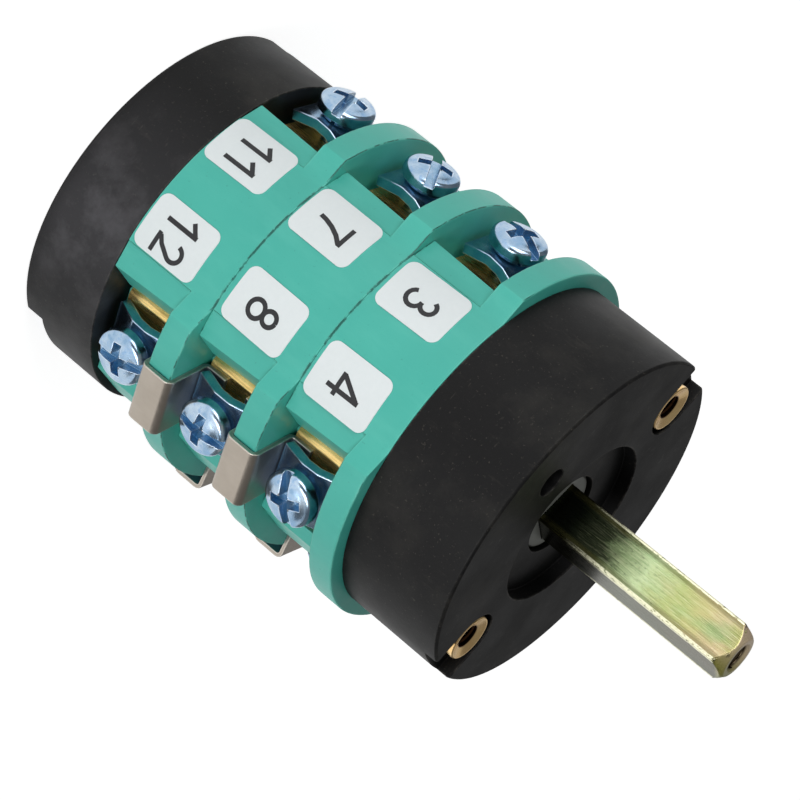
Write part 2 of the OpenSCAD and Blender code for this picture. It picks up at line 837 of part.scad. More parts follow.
module tie_bolts() {
    head_z = rear_slot_depth - bolt_head_h;
    end_z = insert_z + bolt_grip - seat_gap;
    bevel = 0.4;
    color(zinc)
    sides()
    translate([bolt_x, 0, 0])
    difference() {
        rotate_extrude()
        polygon([
            [0, head_z],
            [bolt_head_r - bevel, head_z],
            [bolt_head_r, head_z + bevel],
            [bolt_head_r, rear_slot_depth],
            [bolt_r, rear_slot_depth],
            [bolt_r, end_z - bevel],
            [bolt_r - bevel, end_z],
            [0, end_z]
        ]);
        translate([-far, -bolt_slot_w / 2, head_z - 1]) cube([2 * far, bolt_slot_w, 1 + bolt_head_h / 2]);
    }
}

module drive_shaft() {
    color(yellow_zinc)
    difference() {
        union() {
            translate([0, 0, journal_end]) cylinder(r = journal_r, h = rear_cap_len - journal_end);
            intersection() {
                square_bar(shaft_w, shaft_edge_r, rear_bearing_z + pass_gap, tall);
                rotate_extrude()
                polygon([
                    [0, 0],
                    [far, 0],
                    [far, shaft_end - shaft_bevel - 1],
                    [shaft_w * sqrt(0.5), shaft_end - shaft_bevel],
                    [shaft_w * sqrt(0.5) - shaft_bevel, shaft_end],
                    [0, shaft_end]
                ]);
            }
        }
        translate([0, 0, shaft_end - shaft_hole_depth]) cylinder(r = shaft_hole_r, h = tall);
        translate([0, 0, shaft_end - 0.6]) cylinder(r1 = shaft_hole_r, r2 = shaft_hole_r + 0.7, h = 0.7);
    }
}

module shaft_bush() {
    color(grey)
    difference() {
        union() {
            translate([0, 0, stop_z + stop_t]) cylinder(r = bush_r, h = bush_z - stop_z - stop_t);
            translate([0, 0, bush_z]) bevelled_disc(bush_disc_r, bush_disc_t, 0, 0.3);
        }
        square_hole(stop_z, floor_z - stop_z);
    }
}

module stop_plate() {
    color(zinc)
    difference() {
        translate([0, 0, stop_z]) {
            cylinder(r = stop_r, h = stop_t);
            translate([0, -stop_lug_w, 0]) cube([stop_lug_r, 2 * stop_lug_w, stop_t]);
        }
        square_hole(stop_z, stop_t);
    }
}

module star_wheel() {
    mean_r = star_r - notch_depth / 2;
    shape = [
        for (a = [0:2.5:357.5])
        (mean_r - notch_depth / 2 * cos(star_steps * (a - quarter))) * [cos(a), sin(a)]
    ];
    color(white)
    difference() {
        union() {
            translate([0, 0, front_z]) cylinder(r = hub_r, h = stop_z - front_z);
            translate([0, 0, star_z]) linear_extrude(star_w) polygon(shape);
        }
        square_hole(front_z, stop_z - front_z);
    }
}

// Slider s sits on the -Y side where s is 0 and on the +Y side where s is 1
module detent_slider(s) {
    tip = slider_tip + slider_nose_r;
    color(grey)
    mirror([0, 1 - s, 0])
    difference() {
        translate([0, 0, slider_z])
        linear_extrude(slider_h) {
            translate([-slider_w / 2, slider_y]) square([slider_w, slider_len]);
            polygon([
                [-slider_w / 2, slider_y],
                [-slider_nose_r, tip],
                [slider_nose_r, tip],
                [slider_w / 2, slider_y]
            ]);
            translate([0, tip]) circle(slider_nose_r);
        }
        translate([0, slider_back - detent_pocket, slider_z + slider_h / 2])
        rotate([-90, 0, 0])
        cylinder(r = detent_spring_r + 0.3, h = far);
    }
}

module detent_spring(s) {
    seat = slider_back - detent_pocket + seat_gap;
    wall = sqrt(cavity_r * cavity_r - detent_spring_r * detent_spring_r) - seat_gap;
    color(zinc)
    mirror([0, 1 - s, 0])
    translate([0, seat, slider_z + slider_h / 2])
    rotate([-90, 0, 0])
    coil(detent_spring_r, wall - seat, spring_turns + 2);
}

rear_cap();
front_housing();
mounting_inserts();
tie_bolts();
drive_shaft();
shaft_bush();
stop_plate();
star_wheel();
terminal_screws();
saddle_washers();
spring_washers();
detent_slider(0);  // detent_slider_a
detent_slider(1);  // detent_slider_b
detent_spring(0);  // detent_spring_a
detent_spring(1);  // detent_spring_b
for (b = [0:2]) {
    contact_block(b);
    cam(b);
}
for (k = [1:12]) {
    terminal(k);
}
for (j = JUMPERS) {
    jumper(j);
}
for (p = [0:5]) {
    plunger(p);
    contact_bridge(p);
    contact_spring(p);
}
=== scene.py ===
import json
from math import cos, hypot, pi, radians, sin

import bmesh
import bpy
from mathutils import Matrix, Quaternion, Vector

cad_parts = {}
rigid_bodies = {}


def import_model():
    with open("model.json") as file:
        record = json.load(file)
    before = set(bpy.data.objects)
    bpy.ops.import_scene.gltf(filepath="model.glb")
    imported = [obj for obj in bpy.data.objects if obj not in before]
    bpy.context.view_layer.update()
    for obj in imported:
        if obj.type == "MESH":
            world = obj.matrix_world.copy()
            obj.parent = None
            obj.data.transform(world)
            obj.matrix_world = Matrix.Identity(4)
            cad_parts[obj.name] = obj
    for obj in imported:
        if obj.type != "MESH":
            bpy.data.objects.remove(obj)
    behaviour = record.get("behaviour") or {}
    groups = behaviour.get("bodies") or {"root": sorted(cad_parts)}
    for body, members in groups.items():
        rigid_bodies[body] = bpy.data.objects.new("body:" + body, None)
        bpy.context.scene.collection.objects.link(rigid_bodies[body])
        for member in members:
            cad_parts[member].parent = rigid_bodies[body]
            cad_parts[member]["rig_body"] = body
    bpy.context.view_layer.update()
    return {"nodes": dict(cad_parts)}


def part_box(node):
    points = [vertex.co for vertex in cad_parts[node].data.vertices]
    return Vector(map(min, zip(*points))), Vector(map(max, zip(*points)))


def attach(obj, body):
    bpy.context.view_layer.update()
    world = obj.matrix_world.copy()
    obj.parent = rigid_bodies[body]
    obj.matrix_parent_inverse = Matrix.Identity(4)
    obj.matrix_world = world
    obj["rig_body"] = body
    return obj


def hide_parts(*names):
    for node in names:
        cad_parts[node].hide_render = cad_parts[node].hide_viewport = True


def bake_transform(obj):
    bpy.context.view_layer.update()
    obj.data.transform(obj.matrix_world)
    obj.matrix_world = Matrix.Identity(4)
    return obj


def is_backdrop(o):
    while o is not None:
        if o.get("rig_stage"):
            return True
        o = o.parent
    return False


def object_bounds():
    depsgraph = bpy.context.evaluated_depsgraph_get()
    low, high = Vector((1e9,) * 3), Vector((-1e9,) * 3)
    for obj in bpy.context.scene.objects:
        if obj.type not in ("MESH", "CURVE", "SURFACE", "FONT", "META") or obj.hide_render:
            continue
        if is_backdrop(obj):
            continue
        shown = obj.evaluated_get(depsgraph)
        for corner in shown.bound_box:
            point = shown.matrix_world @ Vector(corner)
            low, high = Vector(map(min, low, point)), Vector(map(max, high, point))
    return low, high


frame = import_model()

# The rear cap is a black phenolic moulding with a slot from its rim to each tie bolt's head.
# It closes the stack at the back, where the bolts pull it against the first block.

mm = 0.001


class Shade:
    """One output of a shader node; arithmetic on it adds Math nodes beside that node."""

    def __init__(self, nodes, socket):
        self.nodes = nodes
        self.socket = socket

    def maths(self, operation, *values):
        return self.nodes.maths(operation, *values)

    def __add__(self, other):
        return self.maths("ADD", self, other)

    def __radd__(self, other):
        return self.maths("ADD", other, self)

    def __sub__(self, other):
        return self.maths("SUBTRACT", self, other)

    def __rsub__(self, other):
        return self.maths("SUBTRACT", other, self)

    def __mul__(self, other):
        return self.maths("MULTIPLY", self, other)

    def __rmul__(self, other):
        return self.maths("MULTIPLY", other, self)

    def __pow__(self, other):
        return self.maths("POWER", self, other)

    def __rpow__(self, other):
        return self.maths("POWER", other, self)


class Nodes:
    """The nodes of a material or of the world, which all come from node()."""

    def __init__(self, tree):
        self.tree = tree

    def node(self, kind, settings=None, inputs=None):
        """A new node with its settings, and with the values or links of its sockets."""
        node = self.tree.nodes.new(kind)
        for name, value in (settings or {}).items():
            if name == "stops":
                for place, colour in value[1:-1]:
                    node.color_ramp.elements.new(place)
                for element, (place, colour) in zip(node.color_ramp.elements, value):
                    element.position = place
                    element.color = colour
            else:
                setattr(node, name, value)
        for name, value in (inputs or {}).items():
            self.feed(node.inputs[name], value)
        return node

    def add(self, kind, settings=None, inputs=None, output=0):
        """One output of a new node."""
        return Shade(self, self.node(kind, settings, inputs).outputs[output])

    def feed(self, socket, value):
        """Sets a socket to a value, or links it to a node's output."""
        if isinstance(value, Shade):
            self.tree.links.new(value.socket, socket)
        else:
            socket.default_value = value

    def maths(self, operation, *values):
        return self.add("ShaderNodeMath", {"operation": operation}, dict(enumerate(values)))

    def band(self, value, low, high, start=0.0, end=1.0):
        """value from low to high carried to start to end, and held outside them."""
        inputs = {"Value": value, "From Min": low, "From Max": high, "To Min": start, "To Max": end}
        return self.add("ShaderNodeMapRange", {"clamp": True}, inputs)


class Finish(Nodes):
    """A material with one main shader, whose uniform values are fixed and whose others are painted."""

    def __init__(self, name, fixed):
        self.material = bpy.data.materials.new(name)
        self.material.use_nodes = True
        super().__init__(self.material.node_tree)
        self.tree.nodes.clear()
        self.shader = self.node("ShaderNodeBsdfPrincipled", {}, fixed)
        self.node("ShaderNodeOutputMaterial", {}, {"Surface": Shade(self, self.shader.outputs[0])})

    def paint(self, **sockets):
        """Feeds the main shader's sockets with what changes over the surface."""
        for name, value in sockets.items():
            self.feed(self.shader.inputs[name.replace("_", " ").title()], value)

    def place(self, stretch=(1, 1, 1)):
        """Place on the piece at rest, in metres, with each axis stretched for a grain."""
        at = self.add("ShaderNodeTexCoord", output="Object")
        return self.add("ShaderNodeMapping", {}, {"Vector": at, "Scale": stretch})

    def part(self, vector, axis):
        """One axis of a vector."""
        return self.add("ShaderNodeSeparateXYZ", {}, {"Vector": vector}, output=axis)

    def facing(self, axis):
        """How squarely the surface faces either way along one of the switch's own axes."""
        return self.maths("ABSOLUTE", self.part(self.add("ShaderNodeTexCoord", output="Normal"), axis))

    def noise(self, size, detail=3.0, roughness=0.55, stretch=(1, 1, 1)):
        """Noise from 0 to 1 whose lumps are about size metres across."""
        inputs = {"Vector": self.place(stretch), "Scale": 1 / size, "Detail": detail, "Roughness": roughness}
        return self.add("ShaderNodeTexNoise", {}, inputs, output="Fac")

    def mix(self, factor, a, b):
        """Colour a, turning to colour b as factor goes from 0 to 1."""
        return self.add("ShaderNodeMix", {"data_type": "RGBA"}, {0: factor, 6: a, 7: b}, output=2)

    def edge(self, reach):
        """1 at the piece's own outer edges, fading to 0 at reach metres from them."""
        settings = {"samples": 6, "inside": True, "only_local": True}
        return 1 - self.add("ShaderNodeAmbientOcclusion", settings, {"Distance": reach}, output="AO")

    def hollow(self, reach):
        """Share of the view that is shut in within reach metres, as in a slot or a seam."""
        return 1 - self.add("ShaderNodeAmbientOcclusion", {"samples": 6}, {"Distance": reach}, output="AO")

    def bump(self, height, depth, strength=1.0):
        """Bump whose height goes from 0 to depth metres."""
        inputs = {"Height": height, "Distance": depth, "Strength": strength}
        return self.add("ShaderNodeBump", {}, inputs, output="Normal")


def srgb(red, green, blue):
    """Linear colour from the 0 to 255 values that a screen shows."""
    def linear(value):
        part = value / 255
        return part / 12.92 if part <= 0.04045 else ((part + 0.055) / 1.055) ** 2.4
    return (linear(red), linear(green), linear(blue), 1.0)


def new_piece(name, mesh, finish, body):
    """Puts a mesh in the scene as a piece that rides on a body, or on none yet if body is None."""
    piece = bpy.data.objects.new(name, mesh)
    bpy.context.scene.collection.objects.link(piece)
    mesh.materials.clear()
    mesh.materials.append(finish.material)
    if body:
        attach(piece, body)
    return piece


def carved(mesh, cutter):
    """What is left of a mesh when the cutter's solids are taken away."""
    rough = bpy.data.objects.new("rough", mesh)
    tool = bpy.data.objects.new("tool", cutter)
    for thing in (rough, tool):
        bpy.context.scene.collection.objects.link(thing)
    cut = rough.modifiers.new("cut", "BOOLEAN")
    cut.object = tool
    cut.solver = "EXACT"
    graph = bpy.context.evaluated_depsgraph_get()
    result = bpy.data.meshes.new_from_object(rough.evaluated_get(graph))
    bpy.data.objects.remove(rough)
    bpy.data.objects.remove(tool)
    return result


sharp_corner = radians(28)
welded = 0.002 * mm
flat_enough = radians(0.2)


def softened(node, finish, radius, segments, cutter=None):
    """A copy of a node with its sharp edges rounded, which then stands for the node."""
    source = frame["nodes"][node]
    mesh = source.data.copy()
    if cutter:
        mesh = carved(mesh, cutter)
    for attribute in ("custom_normal", "sharp_edge", "sharp_face"):
        if attribute in mesh.attributes:
            mesh.attributes.remove(mesh.attributes[attribute])
    solid = bmesh.new()
    solid.from_mesh(mesh)
    bmesh.ops.remove_doubles(solid, verts=solid.verts, dist=welded)
    bmesh.ops.dissolve_limit(solid, angle_limit=flat_enough, verts=solid.verts, edges=solid.edges)
    for face in solid.faces:
        face.smooth = True
    solid.to_mesh(mesh)
    solid.free()
    mesh.set_sharp_from_angle(angle=sharp_corner)
    piece = new_piece(node + "_finish", mesh, finish, source["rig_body"])
    edges = piece.modifiers.new("edges", "BEVEL")
    edges.width = radius
    edges.segments = segments
    edges.limit_method = "ANGLE"
    edges.angle_limit = sharp_corner
    edges.use_clamp_overlap = False
    edges.harden_normals = True
    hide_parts(node)


phenolic = Finish("black_phenolic", {"Specular IOR Level": 0.15})
mottle = phenolic.noise(9 * mm, 4)
specks = phenolic.band(phenolic.noise(0.5 * mm, 2), 0.66, 0.74)
scuffs = phenolic.band(phenolic.noise(2.2 * mm, 5, 0.7, (1, 1, 0.25)), 0.6, 0.78)
scratch = phenolic.band(phenolic.noise(0.22 * mm, 3, 0.6, (0.07, 1, 0.5)), 0.66, 0.73)
dust = phenolic.band(phenolic.noise(15 * mm, 6, 0.65), 0.5, 0.72)
shade = phenolic.mix(mottle, srgb(13, 13, 14), srgb(19, 19, 19))
shade = phenolic.mix(dust * 0.35, shade, srgb(56, 54, 50))
shade = phenolic.mix(specks * 0.3, shade, srgb(88, 84, 76))
shade = phenolic.mix(scuffs * 0.2 + scratch * 0.3, shade, srgb(74, 70, 64))
# Painted sheen: a pale patch on the rear cap's side, broken up by the dust noise, stands in for a broad
# highlight.
across = phenolic.part(phenolic.place(), "X")
painted_sheen_patch = phenolic.band(across, -12 * mm, 14 * mm) * phenolic.band(across, 28 * mm, 17 * mm, 0.2, 1.0)
painted_sheen_patch = painted_sheen_patch * phenolic.band(phenolic.part(phenolic.place(), "Z"), 22 * mm, 15 * mm)
shade = phenolic.mix(painted_sheen_patch * phenolic.band(dust, -0.6, 0.6), shade, srgb(74, 73, 76))
# The edges are painted lighter: partly rubbed wear, partly a painted highlight line.
rubbed_and_highlit_edges = phenolic.edge(0.35 * mm) * phenolic.band(phenolic.noise(1.3 * mm, 4, 0.7), 0.42, 0.62)
shade = phenolic.mix(rubbed_and_highlit_edges, shade, srgb(118, 114, 106))
# Painted shade: hollows such as the key hole and the round recess are darkened to near black.
shade = phenolic.mix(phenolic.band(phenolic.hollow(6 * mm), 0.3, 0.7), shade, srgb(3, 3, 3))
phenolic.paint(
    base_color=shade,
    roughness=phenolic.band(mottle, 0.3, 0.7, 0.46, 0.56) - scuffs * 0.08,
    normal=phenolic.bump(phenolic.noise(0.35 * mm, 3) + mottle * 2.0, 0.03 * mm, 0.5),
)

# Each slot widens at the rim, where the moulding is cut back.
notch_half_w = 8.5 * mm
notch_depth = 3.6 * mm
notch_in = 4 * mm
housing_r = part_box("rear_cap")[1].x
solid = bmesh.new()
for side in (-1, 1):
    block = bmesh.ops.create_cube(solid, size=2)["verts"]
    bmesh.ops.scale(solid, vec=(notch_in, notch_half_w, notch_depth), verts=block)
    bmesh.ops.translate(solid, vec=(side * housing_r, 0, 0), verts=block)
notches = bpy.data.meshes.new("rim_notches")
solid.to_mesh(notches)
solid.free()
softened("rear_cap", phenolic, 0.18 * mm, 3, cutter=notches)

# The contact blocks are green moulded plastic, each for two contact pairs, with a flange at the front end.
# They come out of one mould, and a fine ragged flash is left where one block meets the next.

blocks = ("contact_block_rear", "contact_block_middle", "contact_block_front")
green = Finish("green_plastic", {"Specular IOR Level": 0.45})
cloud = green.noise(14 * mm, 3)
flow = green.noise(3 * mm, 4, 0.6, (1, 1, 0.3))
dirt = green.band(green.noise(0.45 * mm, 2), 0.7, 0.76)
shade = green.mix(cloud, srgb(62, 168, 154), srgb(76, 182, 166))
shade = green.mix(green.band(flow, 0.45, 0.75) * 0.18, shade, srgb(108, 204, 188))
shade = green.mix(dirt * 0.3, shade, srgb(28, 80, 72))
# Painted highlight: the rounded edges are painted a paler green, broken up by the flow noise.
shade = green.mix(green.edge(0.4 * mm) * flow * 0.9, shade, srgb(132, 216, 194))
height = green.part(green.place(), "Z")
joint_gap = green.maths("MINIMUM", *(green.maths("ABSOLUTE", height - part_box(b)[0].z) for b in blocks[1:]))
ragged = green.noise(0.5 * mm, 4, 0.7) * 0.3 * mm
broken = green.band(green.noise(2.4 * mm, 4, 0.7), 0.42, 0.52)
on_wall = green.band(green.facing("Z"), 0.95, 0.8)
burr = green.band(joint_gap - ragged, 0.12 * mm, 0.02 * mm) * broken * on_wall
shade = green.mix(burr * 0.85, shade, srgb(18, 70, 62))
green.paint(
    base_color=shade,
    roughness=green.band(flow, 0.3, 0.7, 0.38, 0.5),
    normal=green.bump(green.noise(0.6 * mm, 3) + cloud * 3.0, 0.02 * mm, 0.5),
)
for block in blocks:
    softened(block, green, 0.16 * mm, 2)

# The cams are white moulded discs on the square shaft, one inside each block.
# The star wheel of the click mechanism is of the same unfilled plastic.
# Two black phenolic plungers ride on each cam and carry the contact bridges.

white = Finish("white_plastic", {"Specular IOR Level": 0.4})
white.paint(
    base_color=white.mix(white.noise(6 * mm), srgb(226, 225, 218), srgb(236, 236, 230)),
    roughness=white.band(white.noise(1.5 * mm), 0.3, 0.7, 0.35, 0.5),
    normal=white.bump(white.noise(0.5 * mm), 0.01 * mm),
)


def finished(finish, *nodes):
    """Gives a material to nodes whose own shape shows."""
    for node in nodes:
        mesh = frame["nodes"][node].data
        mesh.materials.clear()
        mesh.materials.append(finish.material)


finished(white, "cam_rear", "cam_middle", "cam_front", "star_wheel")
pairs = ("1_2", "3_4", "5_6", "7_8", "9_10", "11_12")
finished(phenolic, *("plunger_" + pair for pair in pairs))

# The contact bridges are small copper alloy strips, one on each plunger, that join two terminals.
# The turned inserts in the front housing are of the same metal; the wall and thread in each hole are painted
# dark brown as shade.

insert_x = 24 * mm
copper = Finish("copper_brass", {"Metallic": 1.0})
stain = copper.noise(2.5 * mm, 4)
lustre = copper.mix(stain, srgb(236, 188, 124), srgb(255, 226, 164))
# Painted shade: within 2.3 mm of each insert hole's axis the metal is painted dark brown.
hole_x = copper.maths("ABSOLUTE", copper.part(copper.place(), "X")) - insert_x
from_hole = (hole_x * hole_x + copper.part(copper.place(), "Y") ** 2) ** 0.5
lustre = copper.mix(copper.band(from_hole, 2.3 * mm, 2.1 * mm), lustre, srgb(72, 46, 28))
# Painted shade: the copper's hollows are darkened to a deep brown.
copper.paint(
    base_color=copper.mix(copper.band(copper.hollow(2.5 * mm), 0.3, 0.75), lustre, srgb(44, 26, 14)),
    roughness=copper.band(stain, 0.3, 0.7, 0.16, 0.3),
    normal=copper.bump(copper.noise(0.3 * mm, 3), 0.01 * mm),
)
finished(copper, *("contact_bridge_" + pair for pair in pairs))

# Each contact and detent spring is wound from steel wire and pushes its plunger or slider inwards.
# Its outer end sits in the housing and its inner end goes with what it pushes, but here each coil is a still
# copy that rides on no body.

spring = Finish("spring_steel", {"Metallic": 1.0})
spring.paint(
    base_color=spring.mix(spring.noise(1.5 * mm), srgb(150, 152, 156), srgb(190, 192, 196)),
    roughness=spring.band(spring.noise(0.8 * mm), 0.3, 0.7, 0.25, 0.4),
)


def sprung(node):
    """A copy of a spring, baked where it stands as a piece on no body, which then stands for the spring."""
    coil = new_piece(node + "_coil", frame["nodes"][node].data.copy(), spring, None)
    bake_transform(coil)
    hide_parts(node)


for pair in pairs:
    sprung("contact_spring_" + pair)
sprung("detent_spring_a")
sprung("detent_spring_b")

# The terminals are brass strips, sheared and bent, one in each pocket of a block.
# The streaks from rolling run along the shaft's direction.

brass = Finish("brass_strip", {})
streaks = brass.noise(0.5 * mm, 4, 0.6, (1, 1, 0.06))
tarnish = brass.noise(3 * mm, 3)
shade = brass.mix(tarnish, srgb(220, 186, 112), srgb(242, 218, 152))
shade = brass.mix(brass.band(streaks, 0.5, 0.7) * 0.6, shade, srgb(142, 104, 44))
# Painted shade: the brass is painted a darker gold in its hollows, under the saddles, and is less metallic
# there.
painted_hollow_shade = brass.band(brass.hollow(3 * mm), 0.35, 0.85)
shade = brass.mix(painted_hollow_shade * 0.7, shade, srgb(196, 146, 62))
brass.paint(
    base_color=shade,
    metallic=1 - painted_hollow_shade * 0.7,
    roughness=brass.band(streaks, 0.3, 0.7, 0.2, 0.34),
    normal=brass.bump(streaks, 0.015 * mm, 0.6),
)
for number in range(1, 13):
    softened("terminal_%d" % number, brass, 0.12 * mm, 2)

# The jumpers are nickel-plated strips that join terminals of two blocks.
# Each is bent over a flange, and its feet are clamped under two saddle washers.

nickel = Finish("nickel_plate", {})
satin = nickel.noise(0.4 * mm, 3, 0.6, (1, 1, 0.12))
shade = nickel.mix(nickel.noise(5 * mm, 3), srgb(156, 147, 136), srgb(178, 169, 158))
# Painted shade: the jumpers are painted a darker bluish grey in their crevices.
painted_hollow_shade = nickel.band(nickel.hollow(4 * mm), 0.35, 0.9)
shade = nickel.mix(painted_hollow_shade, shade, srgb(104, 118, 140))
# Painted highlight: the jumpers' edges are painted near white.
shade = nickel.mix(nickel.band(nickel.edge(0.3 * mm), 0.1, 0.5), shade, srgb(240, 236, 228))
nickel.paint(
    base_color=shade,
    metallic=1 - painted_hollow_shade * 0.5,
    roughness=nickel.band(satin, 0.3, 0.7, 0.28, 0.42),
    normal=nickel.bump(satin, 0.008 * mm, 0.6),
)
for link in ("4_8", "8_12", "2_6", "6_10", "1_5", "5_9"):
    softened("jumper_" + link, nickel, 0.13 * mm, 2)

# The saddle washers, spring washers and screws are steel with a bright blue zinc plate.
# A saddle clamps a wire on the strip, and one screw with its spring washer holds each.
# The tie bolts and the stop plate inside the switch have the same plating.

zinc = Finish("bright_zinc", {})
sheen = zinc.noise(2.2 * mm, 3)
pits = zinc.noise(0.25 * mm, 3)
shade = zinc.mix(zinc.band(sheen, 0.35, 0.7), srgb(134, 166, 196), srgb(192, 208, 222))
shade = zinc.mix(zinc.band(zinc.noise(1.1 * mm, 3), 0.52, 0.7) * 0.5, shade, srgb(78, 140, 194))
# Painted shade: screw slots and other hollows are painted a deeper blue.
painted_hollow_shade = zinc.band(zinc.hollow(2 * mm), 0.25, 0.75)
shade = zinc.mix(painted_hollow_shade, shade, srgb(84, 150, 192))
# Painted highlight: the edges are painted near white.
shade = zinc.mix(zinc.band(zinc.edge(0.25 * mm), 0.12, 0.5) * 0.9, shade, srgb(236, 242, 250))
zinc.paint(
    base_color=shade,
    metallic=1 - painted_hollow_shade * 0.5,
    roughness=zinc.band(sheen, 0.3, 0.7, 0.14, 0.27),
    normal=zinc.bump(pits, 0.012 * mm, 0.7),
)
softened("saddle_washers", zinc, 0.2 * mm, 3)
softened("spring_washers", zinc, 0.14 * mm, 2)

# Turn of the slot in the head of each screw, from terminal 1 on, in degrees.
slot_turns = (34, 150, 21, 110, 95, 165, 60, 0, 128, 46, 76, 12)
terminal_angle = radians(40)
screw_offset = 4.8 * mm
slot_w = 1.6 * mm
slot_depth = 1.9 * mm
cross_len = 5.8 * mm
head_reach = 6 * mm

solid = bmesh.new()
points = [vertex.co.copy() for vertex in frame["nodes"]["terminal_screws"].data.vertices]
for number, turn in enumerate(slot_turns, 1):
    side_x = 1 if number % 2 == 0 else -1
    side_y = -1 if number % 4 in (3, 0) else 1
    out = Vector((side_x * cos(terminal_angle), side_y * sin(terminal_angle), 0))
    along = Vector((side_x * sin(terminal_angle), -side_y * cos(terminal_angle), 0))
    low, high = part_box("terminal_%d" % number)
    axis = along * screw_offset + Vector((0, 0, (low.z + high.z) / 2))
    near = [
        p for p in points
        if p.dot(out) > 0 and (p - axis - out * (p - axis).dot(out)).length < head_reach
    ]
    top = max((p - axis).dot(out) for p in near)
    slot_way = along * sin(radians(turn)) - Vector((0, 0, cos(radians(turn))))
    cross_way = along * cos(radians(turn)) + Vector((0, 0, sin(radians(turn))))
    w = slot_w / 2
    arm = cross_len / 2
    outline = [(head_reach, w), (w, w), (w, arm), (-w, arm), (-w, w), (-head_reach, w)]
    outline += [(-u, -v) for u, v in outline]
    ends = []
    for height in (top - slot_depth, top + slot_depth):
        ends.append([solid.verts.new(axis + out * height + slot_way * u + cross_way * v) for u, v in outline])
    floor_ring, lid_ring = ends
    solid.faces.new(floor_ring)
    solid.faces.new(lid_ring)
    for i in range(len(outline)):
        j = (i + 1) % len(outline)
        solid.faces.new((floor_ring[i], floor_ring[j], lid_ring[j], lid_ring[i]))
bmesh.ops.recalc_face_normals(solid, faces=solid.faces)
slots = bpy.data.meshes.new("screw_slots")
solid.to_mesh(slots)
solid.free()
softened("terminal_screws", zinc, 0.09 * mm, 2, cutter=slots)
finished(zinc, "tie_bolts", "stop_plate")

# The front housing is a black phenolic moulding with a round recess and two slots.
# It carries the front bearing, the inserts and the click mechanism behind its web.

softened("front_housing", phenolic, 0.16 * mm, 2)

# The mounting inserts are bushes turned from copper alloy, pressed into the front housing.
# A thread runs through each: the tie bolt holds its rear end, and the front end takes a mounting screw.

insert_r = 4.1 * mm
insert_lip = 0.35 * mm
insert_cone = 0.55 * mm
insert_hole_r = 2.1 * mm
insert_rear_r = 2.45 * mm
insert_grip = 5 * mm
insert_hole_depth = 8 * mm
turned_steps = 64
turned_corner = radians(12)
low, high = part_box("mounting_inserts")
foot = low.z
top = high.z
profile = (
    (insert_rear_r, foot),
    (insert_r, foot),
    (insert_r, top - insert_lip / 2),
    (insert_r - insert_lip / 2, top),
    (insert_r - insert_lip, top),
    (insert_hole_r, top - insert_cone),
    (insert_hole_r, foot + insert_grip),
    (insert_rear_r, foot + insert_grip),
)
solid = bmesh.new()
for x in (-insert_x, insert_x):
    rings = []
    for i in range(turned_steps):
        turn = 2 * pi * i / turned_steps
        rings.append([solid.verts.new((x + r * cos(turn), r * sin(turn), z)) for r, z in profile])
    for a, b in zip(rings, rings[1:] + rings[:1]):
        for k in range(len(profile)):
            j = (k + 1) % len(profile)
            solid.faces.new((a[k], b[k], b[j], a[j])).smooth = True
bmesh.ops.recalc_face_normals(solid, faces=solid.faces)
bushes = bpy.data.meshes.new("turned_inserts")
solid.to_mesh(bushes)
solid.free()
bushes.set_sharp_from_angle(angle=turned_corner)
inserts = new_piece("turned_inserts", bushes, copper, "housing")
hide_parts("mounting_inserts")

thread_r = 2.1 * mm
thread_pitch = 0.8 * mm
thread_depth = 0.28 * mm
thread_steps = 24
thread_lead = 0.3 * mm
# Half the width of a turn at the hole's wall and at its crest, in shares of the pitch.
foot_half = 0.42
crest_half = 0.08
sunk_in_wall = 0.02 * mm


def thread(name, finish, body, slot, x, low, high):
    """The turns of a screw thread on the wall of a hole along the shaft's direction."""
    solid = bmesh.new()
    count = int((high - low) / thread_pitch * thread_steps)
    rings = []
    for i in range(count + 1):
        turn = 2 * pi * i / thread_steps
        up = low + thread_pitch * i / thread_steps
        crest = thread_depth * min(1, i / thread_steps, (count - i) / thread_steps)
        wall = thread_r + sunk_in_wall
        inner = thread_r - crest
        profile = ((wall, -foot_half), (inner, -crest_half), (inner, crest_half), (wall, foot_half))
        ring = [(x + r * cos(turn), r * sin(turn), up + z * thread_pitch) for r, z in profile]
        rings.append([solid.verts.new(point) for point in ring])
    for a, b in zip(rings, rings[1:]):
        for k in range(len(a)):
            j = (k + 1) % len(a)
            solid.faces.new((a[k], b[k], b[j], a[j]))
    solid.faces.new(rings[0])
    solid.faces.new(reversed(rings[-1]))
    bmesh.ops.recalc_face_normals(solid, faces=solid.faces)
    mesh = bpy.data.meshes.new(name)
    solid.to_mesh(mesh)
    solid.free()
    new_piece(name, mesh, finish, body)


top -= insert_cone + thread_lead
for name, x in (("insert_thread_left", -insert_x), ("insert_thread_right", insert_x)):
    thread(name, copper, "housing", "copper_brass", x, top - insert_hole_depth, top)

# The grey bush is a moulded disc on the square shaft that runs in the front bearing.
# The detent sliders are moulded from the same plastic.

grey = Finish("grey_plastic", {"Specular IOR Level": 0.4})
grain = grey.noise(0.8 * mm)
grey.paint(
    base_color=grey.mix(grain, srgb(112, 115, 110), srgb(132, 134, 128)),
    roughness=grey.band(grain, 0.3, 0.7, 0.4, 0.55),
    normal=grey.bump(grain, 0.012 * mm),
)
softened("shaft_bush", grey, 0.12 * mm, 2)
finished(grey, "detent_slider_a", "detent_slider_b")

# The drive shaft is drawn square steel bar with a yellow zinc plate that shimmers green and violet.
# Its end is bevelled in a lathe and has a threaded hole for the lever's screw.

